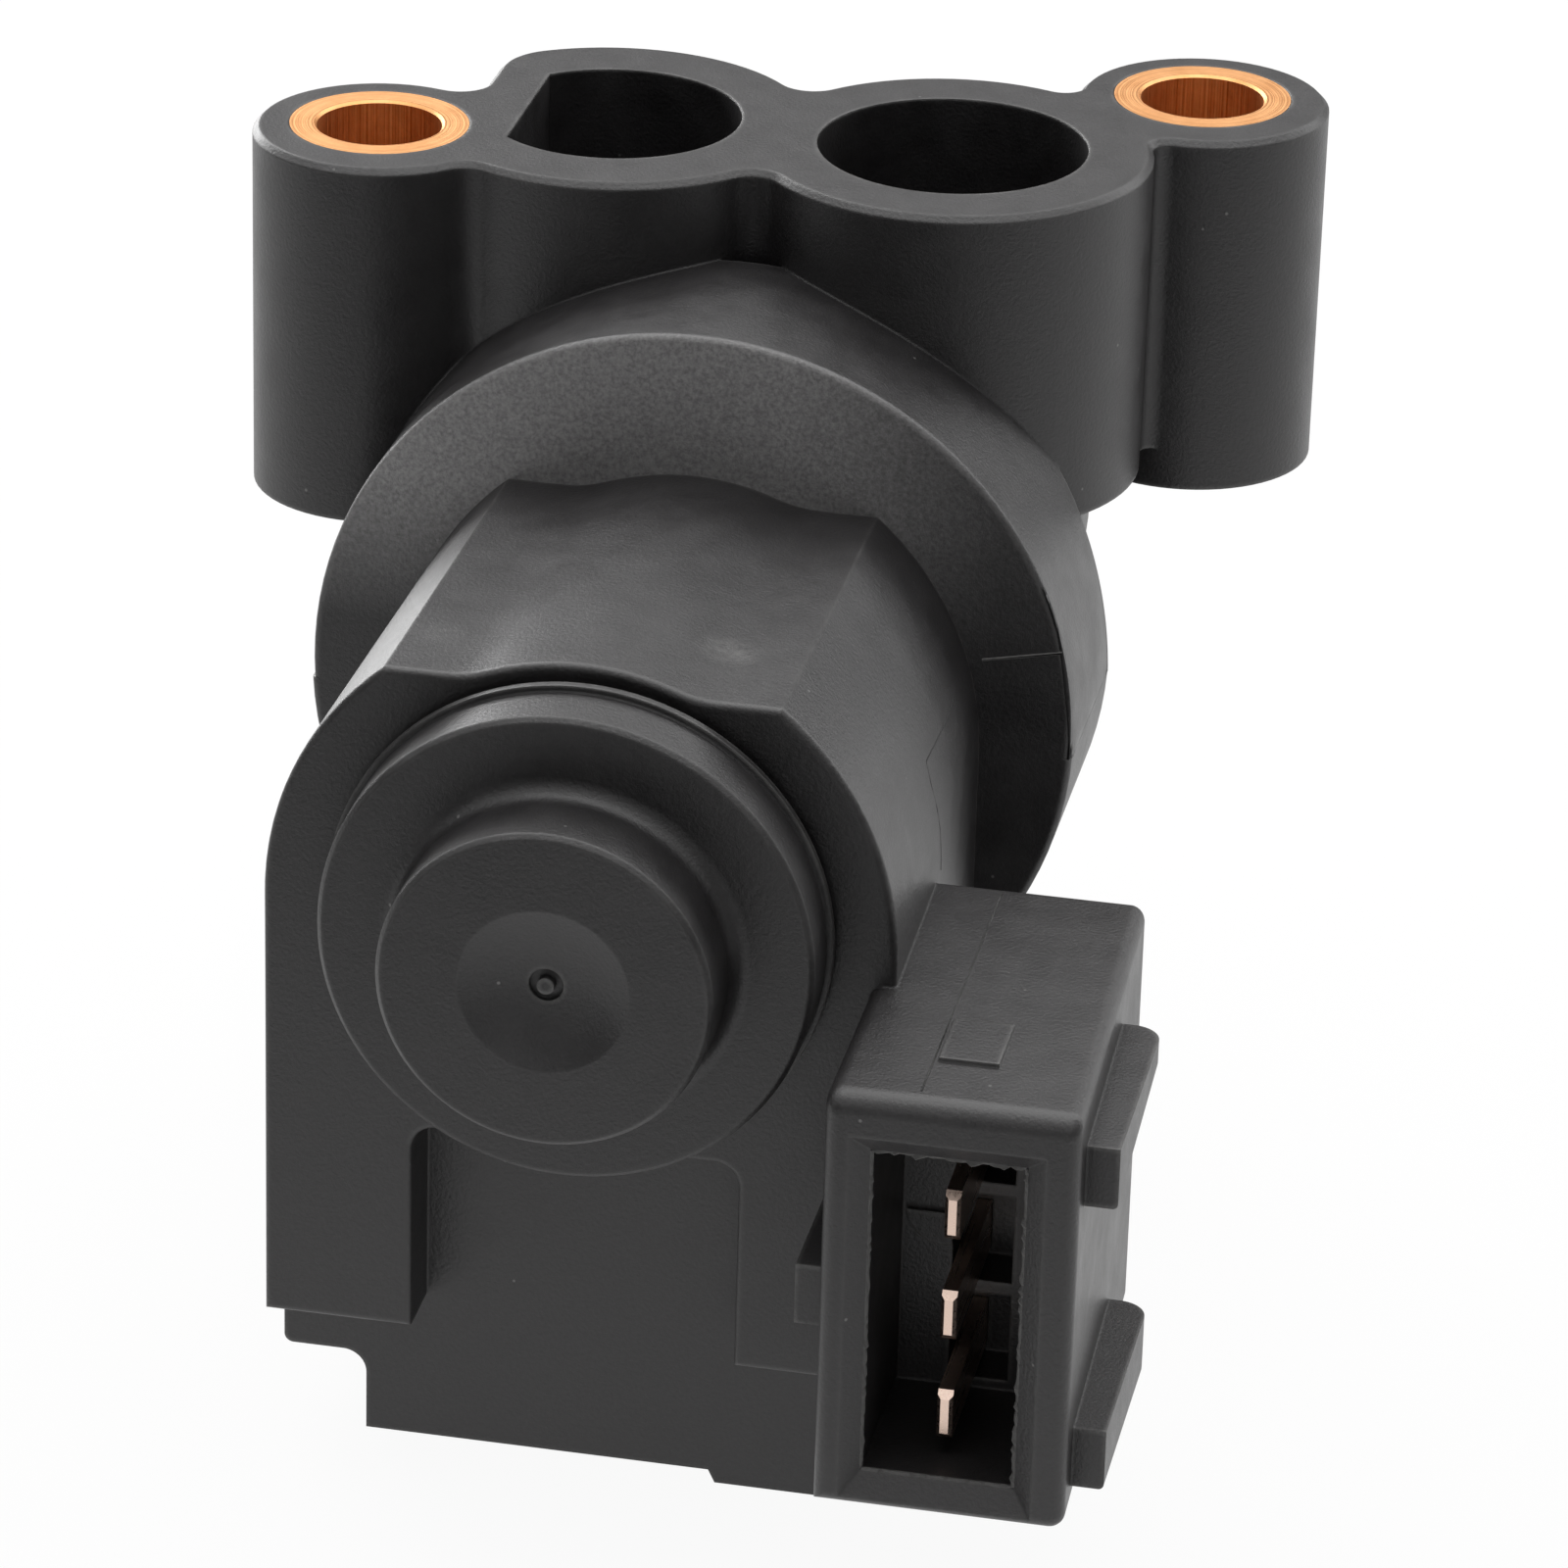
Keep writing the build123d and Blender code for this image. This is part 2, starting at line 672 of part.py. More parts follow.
# Front cap: a stepped round moulding, gated in its dimple
with BuildPart() as front_cap:
    with BuildSketch(level(0)):
        with BuildLine():
            dimple = TangentArc((0, cap_front + dimple_depth), (dimple_r, cap_front), tangent=(1, 0))
            Polyline(
                dimple @ 1,
                (cap_r, cap_front),
                (cap_r, ring_front),
                (ring_r, ring_front),
                (ring_r, lip_front),
                (ring_r + lip, lip_front),
                (ring_r + lip, lip_front + lip_len),
                (seat_r, lip_front + lip_len),
                (seat_r, block_front),
                (plug_r, block_front),
                (plug_r, block_front + plug_len),
                (rotor_bore, block_front + plug_len),
                (rotor_bore, cap_floor),
                (bush_r + press_gap, cap_floor),
                (bush_r + press_gap, bush_front),
                (0, bush_front),
                (0, cap_front + dimple_depth),
            )
        make_face()
    revolve(axis=shaft_axis)
    outer_edges = front_cap.edges().filter_by(GeomType.CIRCLE)
    fillet(outer_edges.filter_by(lambda e: abs(e.radius - cap_r) < press_gap).sort_by(Axis.Y)[-1], cap_fillet)
    outer_edges = front_cap.edges().filter_by(GeomType.CIRCLE)
    rim_edges = [
        outer_edges.filter_by(lambda e: abs(e.radius - r) < press_gap).sort_by(Axis.Y)[0]
        for r in (cap_r, ring_r)
    ]
    chamfer(rim_edges, cap_edge)
    with BuildSketch(station(cap_front + dimple_depth + gate_depth)):
        Circle(gate_r)
        Circle(pip_r, mode=Mode.SUBTRACT)
    extrude(amount=gate_depth + dimple_depth, mode=Mode.SUBTRACT)
    with BuildSketch(station(cap_front + dimple_depth + gate_depth)):
        Circle(pip_r)
    extrude(amount=gate_depth + pip_height)

# Rotor: shaft, hub and ring magnet
front_bush = sleeve(bush_r, shaft_r + running_gap, bush_front, front_bush_len)
rear_bush = sleeve(bush_r, shaft_r + running_gap, spigot_end - rear_bush_len, rear_bush_len)
front_washer_ring = sleeve(washer_r, shaft_r + press_gap, front_washer_front, front_washer)
rear_washer_ring = sleeve(washer_r, shaft_r + press_gap, spigot_end + end_play, rear_washer)
rotor_magnet = sleeve(magnet_r, hub_r + press_gap, magnet_front, magnet_len)
with BuildPart() as rotor_shaft:
    with BuildSketch(station(shaft_rear)):
        Circle(shaft_r)
    extrude(amount=shaft_rear - shaft_front)
    chamfer(rotor_shaft.edges().filter_by(GeomType.CIRCLE), shaft_edge)
    with BuildSketch(station(shaft_rear)):
        with Locations((0, 2 * shaft_r - shaft_flat)):
            Rectangle(2 * shaft_r, 2 * shaft_r)
    extrude(amount=shaft_rear - slide_front, mode=Mode.SUBTRACT)
    with BuildSketch(station(clip_front + clip_thick + press_gap)):
        Circle(shaft_r + clip_groove)
        Circle(shaft_r - clip_groove, mode=Mode.SUBTRACT)
    extrude(amount=clip_thick + 2 * press_gap, mode=Mode.SUBTRACT)
with BuildPart() as rotor_hub:
    with BuildSketch(station(hub_rear)):
        Circle(hub_r)
    extrude(amount=hub_rear - hub_front)
    with BuildSketch(station(magnet_front - press_gap)):
        Circle(hub_r + hub_collar_rise)
    extrude(amount=hub_collar)
    with BuildSketch(station(hub_rear)):
        Circle(shaft_r + press_gap)
    extrude(amount=hub_rear - hub_front, mode=Mode.SUBTRACT)

# Rotary slide: a curved shutter on a web and a rib, keyed to the shaft's flat
with BuildPart() as rotary_slide:
    with BuildSketch(station(slide_rear)):
        Circle(slide_r)
        Circle(slide_r - slide_wall, mode=Mode.SUBTRACT)
        add(slide_sector, mode=Mode.INTERSECT)
    extrude(amount=slide_rear - slide_rim_front)
    with BuildSketch(station(slide_rim_front + slide_web)):
        Circle(slide_r - slide_wall / 2)
        add(slide_sector, mode=Mode.INTERSECT)
    extrude(amount=slide_web)
    with BuildSketch(station(slide_rear)):
        Circle(slide_hub_r)
        with Locations(Location((0, 0, 0), (0, 0, 90 + slide_rest_angle))):
            with Locations((slide_r / 2, 0)):
                Rectangle(slide_r - slide_wall / 2, slide_wall)
    extrude(amount=slide_rear - slide_rim_front)
    with BuildSketch(station(slide_rim_front)):
        Circle(slide_hub_r)
    extrude(amount=slide_rim_front - slide_front)
    with BuildSketch(station(slide_rim_front)):
        with PolarLocations(peg_circle, 1, 90 + slide_rest_angle):
            Circle(peg_r)
    extrude(amount=slide_rim_front - spigot_end + stop_depth - peg_clear)
    with BuildSketch(station(slide_rear)):
        Circle(shaft_r + press_gap)
        with Locations((0, 2 * shaft_r - shaft_flat + press_gap)):
            Rectangle(3 * shaft_r, 2 * shaft_r, mode=Mode.SUBTRACT)
    extrude(amount=slide_rear - slide_front, mode=Mode.SUBTRACT)
with BuildPart() as slide_clip:
    with BuildSketch(station(clip_front + clip_thick)):
        Circle(shaft_r + clip_width)
        Circle(shaft_r - clip_groove + press_gap, mode=Mode.SUBTRACT)
        with Locations((0, -shaft_r - clip_width)):
            Rectangle(2 * (shaft_r - clip_groove), 2 * (shaft_r + clip_width), mode=Mode.SUBTRACT)
    extrude(amount=clip_thick)

# Seal, coil core, bobbin and windings
with BuildPart() as spigot_o_ring:
    with BuildSketch(level(0)):
        with Locations(((groove_r + spigot_r + press_gap) / 2, seal_centre)):
            Circle(seal_section / 2 - press_gap)
    revolve(axis=shaft_axis)
with BuildPart() as coil_core:
    with BuildSketch(station(stack_front + stack_len)):
        with Locations((0, -core_depth)):
            Rectangle(2 * leg_inner, core_height)
    extrude(amount=stack_len)
with BuildPart() as coil_bobbin:
    with BuildSketch(coil_plane.offset(-coil_x)):
        Rectangle(*coil_ring(bobbin_wall + press_gap))
    extrude(amount=2 * coil_x)
    for x in (-coil_x, -bobbin_flange / 2, coil_x - bobbin_flange):
        with BuildSketch(coil_plane.offset(x)):
            RectangleRounded(*coil_ring(bobbin_margin), winding_corner)
        extrude(amount=bobbin_flange)
    with BuildSketch(coil_plane.offset(-coil_x)):
        Rectangle(*coil_ring(press_gap))
    extrude(amount=2 * coil_x, mode=Mode.SUBTRACT)
winding_left = winding(-coil_x + bobbin_flange + press_gap, -bobbin_flange / 2 - press_gap)
winding_right = winding(bobbin_flange / 2 + press_gap, coil_x - bobbin_flange - press_gap)

pieces = {
    "valve_body": valve_body,
    "motor_housing": motor_housing,
    "front_cap": front_cap,
    "rear_cover": rear_cover,
    "compression_limiter_left": limiter_left,
    "compression_limiter_right": limiter_right,
    "terminal_upper": terminals[0],
    "terminal_middle": terminals[1],
    "terminal_lower": terminals[2],
    "rotor_shaft": rotor_shaft,
    "rotor_hub": rotor_hub,
    "rotor_magnet": rotor_magnet,
    "rotary_slide": rotary_slide,
    "slide_clip": slide_clip,
    "front_bush": front_bush,
    "rear_bush": rear_bush,
    "front_thrust_washer": front_washer_ring,
    "rear_thrust_washer": rear_washer_ring,
    "stator_leg_left": legs[0],
    "stator_leg_right": legs[1],
    "coil_core": coil_core,
    "coil_bobbin": coil_bobbin,
    "winding_left": winding_left,
    "winding_right": winding_right,
    "spigot_o_ring": spigot_o_ring,
}
os.makedirs("parts", exist_ok=True)
for name, piece in pieces.items():
    piece.part.label = name
    export_step(piece.part, f"parts/{name}.step")
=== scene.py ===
# %% [markdown]
# # An idle air control valve
# This lesson dresses a measured model of an idle air control valve: a black moulded flange with two
# ports, a drum-shaped motor body, a stepped cap and a connector with three blades. The shapes come
# from the CAD model, which loads as a fixed frame. Blender adds the finishes, the fine moulding marks,
# the light and the camera.

# %% Load the measured frame
import math
import random

import bmesh
import bpy
from mathutils import Matrix, Vector


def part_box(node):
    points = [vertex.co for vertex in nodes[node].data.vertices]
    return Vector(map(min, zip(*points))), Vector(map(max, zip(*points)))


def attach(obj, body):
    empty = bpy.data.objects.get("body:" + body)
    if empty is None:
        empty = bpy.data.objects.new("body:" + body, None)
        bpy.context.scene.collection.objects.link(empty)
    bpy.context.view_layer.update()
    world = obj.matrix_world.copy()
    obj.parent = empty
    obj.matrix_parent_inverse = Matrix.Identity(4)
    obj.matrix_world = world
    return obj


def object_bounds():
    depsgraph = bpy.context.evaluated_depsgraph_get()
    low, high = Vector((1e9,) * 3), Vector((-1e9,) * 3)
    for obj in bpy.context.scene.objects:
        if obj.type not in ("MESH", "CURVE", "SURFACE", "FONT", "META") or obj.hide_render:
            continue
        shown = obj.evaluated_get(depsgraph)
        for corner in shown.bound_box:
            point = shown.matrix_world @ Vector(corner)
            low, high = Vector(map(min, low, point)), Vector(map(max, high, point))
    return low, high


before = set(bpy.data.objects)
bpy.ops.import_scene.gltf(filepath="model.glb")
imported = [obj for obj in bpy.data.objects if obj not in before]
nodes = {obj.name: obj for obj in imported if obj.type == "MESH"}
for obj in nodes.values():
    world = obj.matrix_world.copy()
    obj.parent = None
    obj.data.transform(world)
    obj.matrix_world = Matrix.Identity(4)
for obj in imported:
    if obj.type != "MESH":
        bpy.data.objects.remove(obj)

cad_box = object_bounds()
MM = 0.001

# %% [markdown]
# ## Helpers for materials
# Every finish here is a node tree. One helper makes an empty finish with its Principled surface, and
# one adds a node with its settings in a single call, so that the cells below read like a recipe.

# %% Finish and node helpers
def blank_finish(name):
    """A new material, its node tree and its Principled surface."""
    finish = bpy.data.materials.new(name)
    finish.use_nodes = True
    tree = finish.node_tree
    return finish, tree, tree.nodes["Principled BSDF"]


def add_node(tree, kind, values=(), **settings):
    """Adds one node; settings are its properties and values its unlinked input sockets."""
    node = tree.nodes.new("ShaderNode" + kind)
    for key, value in settings.items():
        setattr(node, key, value)
    for socket, value in dict(values).items():
        node.inputs[socket].default_value = value
    return node


def object_point(tree):
    """The socket that gives each surface point's place in the object, in metres."""
    return add_node(tree, "TexCoord").outputs["Object"]


print("finish and node helpers ready")

# %% [markdown]
# Small sums between nodes come up again and again: stretching a value to a new range, adding or
# multiplying two values, and splitting a place into its three directions. Each becomes a one-line call.

# %% Value helpers
def map_range(tree, source, old, new):
    """Stretches a value from one range to another, held at both ends."""
    node = add_node(tree, "MapRange", {1: old[0], 2: old[1], 3: new[0], 4: new[1]}, clamp=True)
    tree.links.new(source, node.inputs[0])
    return node.outputs[0]


def math_node(tree, operation, first, second):
    """One Math node; each side is a socket or a plain number."""
    node = add_node(tree, "Math", operation=operation)
    for index, side in enumerate((first, second)):
        if isinstance(side, (int, float)):
            node.inputs[index].default_value = side
        else:
            tree.links.new(side, node.inputs[index])
    return node.outputs[0]


def split(tree, source):
    """The X, Y and Z sockets of a vector."""
    node = add_node(tree, "SeparateXYZ")
    tree.links.new(source, node.inputs[0])
    return node.outputs


print("value helpers ready")

# %% [markdown]
# Noise, a mix of two colours and an embossed height finish the set. Noise takes its scale in cells per
# metre, so a grain can be written down in real sizes.

# %% Pattern helpers
def noise(tree, point, scale, detail=2.0, roughness=0.5):
    """Noise at a place in the object; scale is in cells per metre."""
    node = add_node(tree, "TexNoise", {"Scale": scale, "Detail": detail, "Roughness": roughness})
    tree.links.new(point, node.inputs["Vector"])
    return node.outputs["Fac"]


def blend_colours(tree, factor, dark, light):
    """Mixes two colours by a factor socket; each is a plain colour or a socket."""
    node = add_node(tree, "Mix", data_type="RGBA")
    for side, colour in (("A", dark), ("B", light)):
        if isinstance(colour, tuple):
            node.inputs[side].default_value = (*colour, 1.0)
        else:
            tree.links.new(colour, node.inputs[side])
    tree.links.new(factor, node.inputs["Factor"])
    return node.outputs["Result"]


def emboss(tree, shader, height, depth, normal=None):
    """Feeds a height socket into the surface's normal; depth is in metres."""
    node = add_node(tree, "Bump", {"Strength": 1.0, "Distance": depth})
    tree.links.new(height, node.inputs["Height"])
    if normal is not None:
        tree.links.new(normal, node.inputs["Normal"])
    tree.links.new(node.outputs["Normal"], shader.inputs["Normal"])


print("pattern helpers ready")

# %% [markdown]
# ## Wear, painted highlights, dust and scuffs
# Outer corners of the black parts are painted paler: partly the rub of handling, partly a painted
# highlight where a rounded edge catches the light. A Bevel node could find corners, but it marks
# inner ones too, where no finger reaches. The Ambient Occlusion node with "inside" on looks down into
# the material instead: just under an outer corner the next face is close, and under an inner one it is
# not. Dust is a sparse Voronoi pattern, and a scuff is a patch of noise round one place.

# %% Marks and painted corner highlights on the plastic
EDGE_REACH = 0.30 * MM
DUST_CELLS = 290.0
SCUFF_CELLS = 1500.0


# Mask for pale outer corners: partly rubbed wear, partly a painted highlight where a rounded edge catches the
# light.
def rubbed_and_highlit_corners(tree):
    """1 on the outer corners of the shape and 0 on its flats and inner corners."""
    near = add_node(
        tree, "AmbientOcclusion", {"Distance": EDGE_REACH}, samples=4, inside=True, only_local=True
    )
    return map_range(tree, near.outputs["AO"], (0.90, 0.50), (0.0, 1.0))


def dust_specks(tree, point):
    """A few pale specks, each under half a millimetre across."""
    cells = add_node(tree, "TexVoronoi", {"Scale": DUST_CELLS})
    tree.links.new(point, cells.inputs["Vector"])
    return map_range(tree, cells.outputs["Distance"], (0.034, 0.018), (0.0, 1.0))


def scuff(tree, point, place, radius, strength):
    """A rubbed patch that fades out at a radius from one place."""
    away = add_node(tree, "VectorMath", operation="DISTANCE")
    tree.links.new(point, away.inputs[0])
    away.inputs[1].default_value = place
    patch = map_range(tree, away.outputs["Value"], (radius, 0.15 * radius), (0.0, strength))
    scratches = map_range(tree, noise(tree, point, SCUFF_CELLS, 4.0, 0.7), (0.38, 0.62), (0.15, 1.0))
    return math_node(tree, "MULTIPLY", patch, scratches)


print("wear, dust and scuff helpers ready")

# %% [markdown]
# ## Black glass-filled plastic
# The housing is moulded from black plastic with glass fibre in it. The mould was spark-eroded, which
# leaves a fine even grain, and the surface is satin: it hardly mirrors, but it catches a pale sheen at
# shallow angles. A photograph of a real part could be wrapped round the shape, but noise in Object
# coordinates needs no unwrapping and has the same scale on every face. A Bevel node rounds the corners
# for the light only. One face of the valve body was left coarser by the mould. That face comes first,
# as a pattern that is 0 everywhere else. Its pale grey is partly the coarse grain and partly a painted
# sheen of light from above, and it fades to the right, where the motor body shades the face.

# %% Coarse face of the valve body, with its painted sheen
GRAIN_CELLS = 4600.0
GRAIN_DEPTH = 0.034 * MM
# Pale grey of the coarse face: partly its grain, partly a painted sheen of light from above.
COARSE_SHEEN_GREY = (0.52, 0.51, 0.51)
COARSE_DEPTH = 0.3 * MM
COARSE_RISE = 9.0 * MM
# Where the painted sheen fades: weaker towards the right, into the shade of the motor body.
COARSE_SHADE_X = (17.0 * MM, 5.0 * MM)


def coarse_sheen_patch(tree, point, face_y, low_z):
    """Pale speckle on the face at one Y above one height, partly coarse grain and partly painted sheen,
    weaker towards the right where the body shades the face, and 0 elsewhere.
    """
    place = split(tree, point)
    on_face = map_range(tree, place["Y"], (face_y + COARSE_DEPTH, face_y), (0.0, 1.0))
    above = map_range(tree, place["Z"], (low_z, low_z + COARSE_RISE), (0.0, 1.0))
    less_in_body_shade = map_range(tree, place["X"], COARSE_SHADE_X, (0.15, 1.0))
    there = math_node(tree, "MULTIPLY", on_face, math_node(tree, "MULTIPLY", above, less_in_body_shade))
    pits = noise(tree, point, GRAIN_CELLS * 0.9, 3.0, 0.7)
    return math_node(tree, "MULTIPLY", there, map_range(tree, pits, (0.34, 0.68), (0.45, 0.85)))


print("coarse face ready")

# %% [markdown]
# The recipe itself mixes two near-blacks by a slow mottle and the fine grain, adds the coarse face with
# its painted sheen, then the dust, the pale corners, partly rubbed and partly a painted highlight, and
# the scuffs. A piece can be told to stay without the pale corners.

# %% Black plastic recipe
MOTTLE_CELLS = 420.0
MOTTLE_SHARE = 0.55
CORNER_RADIUS = 0.22 * MM
PLASTIC_DARK = (0.0155, 0.0143, 0.0149)
PLASTIC_LIGHT = (0.0265, 0.0250, 0.0256)
PLASTIC_ROUGHNESS = (0.36, 0.45)
PLASTIC_GLOSS = 0.60
# Pale grey for outer corners and thin ridges: partly rubbed wear, partly a painted highlight.
RUBBED_AND_HIGHLIGHT_GREY = (0.17, 0.167, 0.163)


def moulded_black(name, scuffs=(), coarse_sheen_face=None, worn_and_highlit=True):
    """Satin black moulding; scuffs are (place, radius, strength), coarse_sheen_face is (y, lowest z).

    With worn_and_highlit on, its outer corners are pale, partly rubbed and partly a painted highlight.
    """
    finish, tree, shader = blank_finish(name)
    point = object_point(tree)
    mottle = noise(tree, point, MOTTLE_CELLS, 5.0, 0.62)
    grain = noise(tree, point, GRAIN_CELLS, 3.0, 0.65)
    fine = math_node(tree, "MULTIPLY", grain, 1 - MOTTLE_SHARE)
    tone = math_node(tree, "ADD", math_node(tree, "MULTIPLY", mottle, MOTTLE_SHARE), fine)
    tone = map_range(tree, tone, (0.35, 0.65), (0.0, 1.0))
    colour = blend_colours(tree, tone, PLASTIC_DARK, PLASTIC_LIGHT)
    # The coarse face: pale grain with a painted sheen, fading where the body shades it.
    if coarse_sheen_face:
        sheen_speckle = coarse_sheen_patch(tree, point, *coarse_sheen_face)
        colour = blend_colours(tree, sheen_speckle, colour, COARSE_SHEEN_GREY)
        grain = math_node(tree, "ADD", grain, math_node(tree, "MULTIPLY", sheen_speckle, 0.3))
    marks = dust_specks(tree, point)
    # Pale outer corners: partly rubbed wear, partly a painted highlight.
    if worn_and_highlit:
        patchy = map_range(tree, mottle, (0.35, 0.65), (0.25, 0.85))
        pale_corner_share = math_node(tree, "MULTIPLY", rubbed_and_highlit_corners(tree), patchy)
        marks = math_node(tree, "MAXIMUM", marks, pale_corner_share)
    for place, radius, strength in scuffs:
        marks = math_node(tree, "MAXIMUM", marks, scuff(tree, point, place, radius, strength))
    tree.links.new(blend_colours(tree, marks, colour, RUBBED_AND_HIGHLIGHT_GREY), shader.inputs["Base Color"])
    tree.links.new(map_range(tree, mottle, (0.3, 0.7), PLASTIC_ROUGHNESS), shader.inputs["Roughness"])
    soft = add_node(tree, "Bevel", {"Radius": CORNER_RADIUS}, samples=4)
    emboss(tree, shader, grain, GRAIN_DEPTH, soft.outputs["Normal"])
    shader.inputs["Specular IOR Level"].default_value = PLASTIC_GLOSS
    return finish


print("black plastic recipe ready")

# %% [markdown]
# Both mouldings use the recipe. The valve body's disc has the coarse face with its painted sheen, on its
# upper part only, and the motor body was scuffed on top at two places.

# %% Two black mouldings
axis_height = -26.2 * MM
disc_face = -23.6 * MM
top_scuffs = [
    (Vector((6.05, -43.9, -13.58)) * MM, 2.0 * MM, 0.55),
    (Vector((-8.95, -45.3, -13.60)) * MM, 1.6 * MM, 0.22),
]
# The disc's upper face gets the pale coarse grain with its painted sheen.
valve_black = moulded_black("valve_body_black", coarse_sheen_face=(disc_face, axis_height + 3.0 * MM))
motor_black = moulded_black("motor_housing_black", top_scuffs)
print("black plastic:", valve_black.name, motor_black.name)

# %% [markdown]
# ## Brass sleeves in the bolt holes
# A bolt would crush bare plastic, so each hole has a brass sleeve. It was turned from tube: the end
# face shows fine rings, and the bore shows streaks along its length. Both come from the same idea,
# noise in one direction only. Rings use the distance from the sleeve's own axis, streaks use the angle
# round it, and the way the surface faces decides which of the two shows.

# %% Brass
BRASS_DARK = (0.62, 0.285, 0.100)
BRASS_LIGHT = (0.84, 0.450, 0.200)
STREAKS_ROUND = 26.0
RING_CELLS = 9000.0
STAIN_CELLS = 600.0
STAIN_SHARE = 0.45
TURNING_DEPTH = 0.014 * MM


def line_noise(tree, source, scale, detail):
    """Noise along one number only."""
    node = add_node(tree, "TexNoise", {"Scale": scale, "Detail": detail}, noise_dimensions="1D")
    tree.links.new(source, node.inputs["W"])
    return node.outputs["Fac"]


def turning_marks(tree, point, middle):
    """Rings on faces that look up or down and upright streaks elsewhere, about an upright axis."""
    centred = add_node(tree, "Mapping", {"Location": (-middle.x, -middle.y, 0.0)})
    tree.links.new(point, centred.inputs["Vector"])
    place = split(tree, centred.outputs["Vector"])
    squares = [math_node(tree, "POWER", place[side], 2.0) for side in ("X", "Y")]
    radius = math_node(tree, "SQRT", math_node(tree, "ADD", *squares), 0.0)
    angle = math_node(tree, "ARCTAN2", place["Y"], place["X"])
    upright = split(tree, add_node(tree, "NewGeometry").outputs["Normal"])["Z"]
    flat = map_range(tree, math_node(tree, "ABSOLUTE", upright, 0.0), (0.4, 0.8), (0.0, 1.0))
    marks = add_node(tree, "Mix")
    tree.links.new(flat, marks.inputs["Factor"])
    tree.links.new(line_noise(tree, angle, STREAKS_ROUND, 4.0), marks.inputs["A"])
    tree.links.new(line_noise(tree, radius, RING_CELLS, 2.0), marks.inputs["B"])
    return marks.outputs["Result"]


def turned_brass(name, node):
    """Brass turned about the upright axis through the middle of one node's box."""
    low, high = (Vector(corner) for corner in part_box(node))
    finish, tree, shader = blank_finish(name)
    point = object_point(tree)
    marks = turning_marks(tree, point, (low + high) / 2)
    stain = math_node(tree, "MULTIPLY", noise(tree, point, STAIN_CELLS, 4.0, 0.6), STAIN_SHARE)
    tone = math_node(tree, "ADD", math_node(tree, "MULTIPLY", marks, 1 - STAIN_SHARE), stain)
    tone = map_range(tree, tone, (0.35, 0.65), (0.0, 1.0))
    tree.links.new(blend_colours(tree, tone, BRASS_DARK, BRASS_LIGHT), shader.inputs["Base Color"])
    tree.links.new(map_range(tree, marks, (0.3, 0.7), (0.36, 0.50)), shader.inputs["Roughness"])
    emboss(tree, shader, marks, TURNING_DEPTH)
    shader.inputs["Metallic"].default_value = 1.0
    return finish


sleeves = [node for node in nodes if node.startswith("compression_limiter")]
sleeve_brass = {node: turned_brass(node + "_brass", node) for node in sleeves}
print("brass:", list(sleeve_brass))

# %% [markdown]
# ## Terminal metal
# The blades are stamped from a pale copper alloy. The strip was rolled, so fine lines run along it.
# Stretching the noise with a Mapping node, far along one axis and hardly along the others, draws them.

# %% Terminal metal
STRIP_CELLS = 5000.0
STRIP_DEPTH = 0.004 * MM
BLADE_TONES = ((0.66, 0.48, 0.39), (0.88, 0.70, 0.60))
STEEL_TONES = ((0.42, 0.42, 0.43), (0.60, 0.60, 0.61))


def rolled_strip(name, dark, light, stretch, rough):
    """Metal with fine lines along the axis that stretch leaves long."""
    finish, tree, shader = blank_finish(name)
    longways = add_node(tree, "Mapping", {"Scale": stretch})
    tree.links.new(object_point(tree), longways.inputs["Vector"])
    lines = noise(tree, longways.outputs["Vector"], STRIP_CELLS, 3.0, 0.6)
    tree.links.new(blend_colours(tree, lines, dark, light), shader.inputs["Base Color"])
    tree.links.new(map_range(tree, lines, (0.3, 0.7), rough), shader.inputs["Roughness"])
    emboss(tree, shader, lines, STRIP_DEPTH)
    shader.inputs["Metallic"].default_value = 1.0
    return finish


blade_metal = rolled_strip("blade_copper_alloy", *BLADE_TONES, (1.0, 0.03, 1.0), (0.24, 0.38))
shaft_steel = rolled_strip("ground_steel", *STEEL_TONES, (0.05, 1.0, 0.05), (0.22, 0.36))
print("strip metals:", blade_metal.name, shaft_steel.name)

# %% [markdown]
# ## Finishes of the hidden works
# Inside the closed housing lie the magnet, the iron, the coil and its bearings. They only show if
# someone takes the valve apart, so their finishes are simpler, but each still has its own grain: bands
# for stacked sheet iron and for wire turns, speckle for ferrite and sintered bronze.

# %% Hidden works
SPECKLE_DEPTH = 0.01 * MM
BAND_DEPTH = 0.05 * MM


def speckled(name, dark, light, cells, rough, metallic=0.0):
    """An even, fine-grained solid such as ferrite, sintered bronze, nylon or rubber."""
    finish, tree, shader = blank_finish(name)
    spots = noise(tree, object_point(tree), cells, 4.0, 0.65)
    tree.links.new(blend_colours(tree, spots, dark, light), shader.inputs["Base Color"])
    tree.links.new(map_range(tree, spots, (0.3, 0.7), rough), shader.inputs["Roughness"])
    emboss(tree, shader, spots, SPECKLE_DEPTH)
    shader.inputs["Metallic"].default_value = metallic
    return finish


def banded(name, dark, light, direction, pitch, rough):
    """Metal in thin even bands along X or Y, such as stacked sheets or laid wire."""
    finish, tree, shader = blank_finish(name)
    waves = {"Scale": math.pi / 10 / pitch, "Distortion": 0.0}
    bands = add_node(tree, "TexWave", waves, bands_direction=direction)
    tree.links.new(object_point(tree), bands.inputs["Vector"])
    tree.links.new(blend_colours(tree, bands.outputs["Fac"], dark, light), shader.inputs["Base Color"])
    tree.links.new(map_range(tree, bands.outputs["Fac"], (0.0, 1.0), rough), shader.inputs["Roughness"])
    emboss(tree, shader, bands.outputs["Fac"], BAND_DEPTH)
    shader.inputs["Metallic"].default_value = 1.0
    return finish


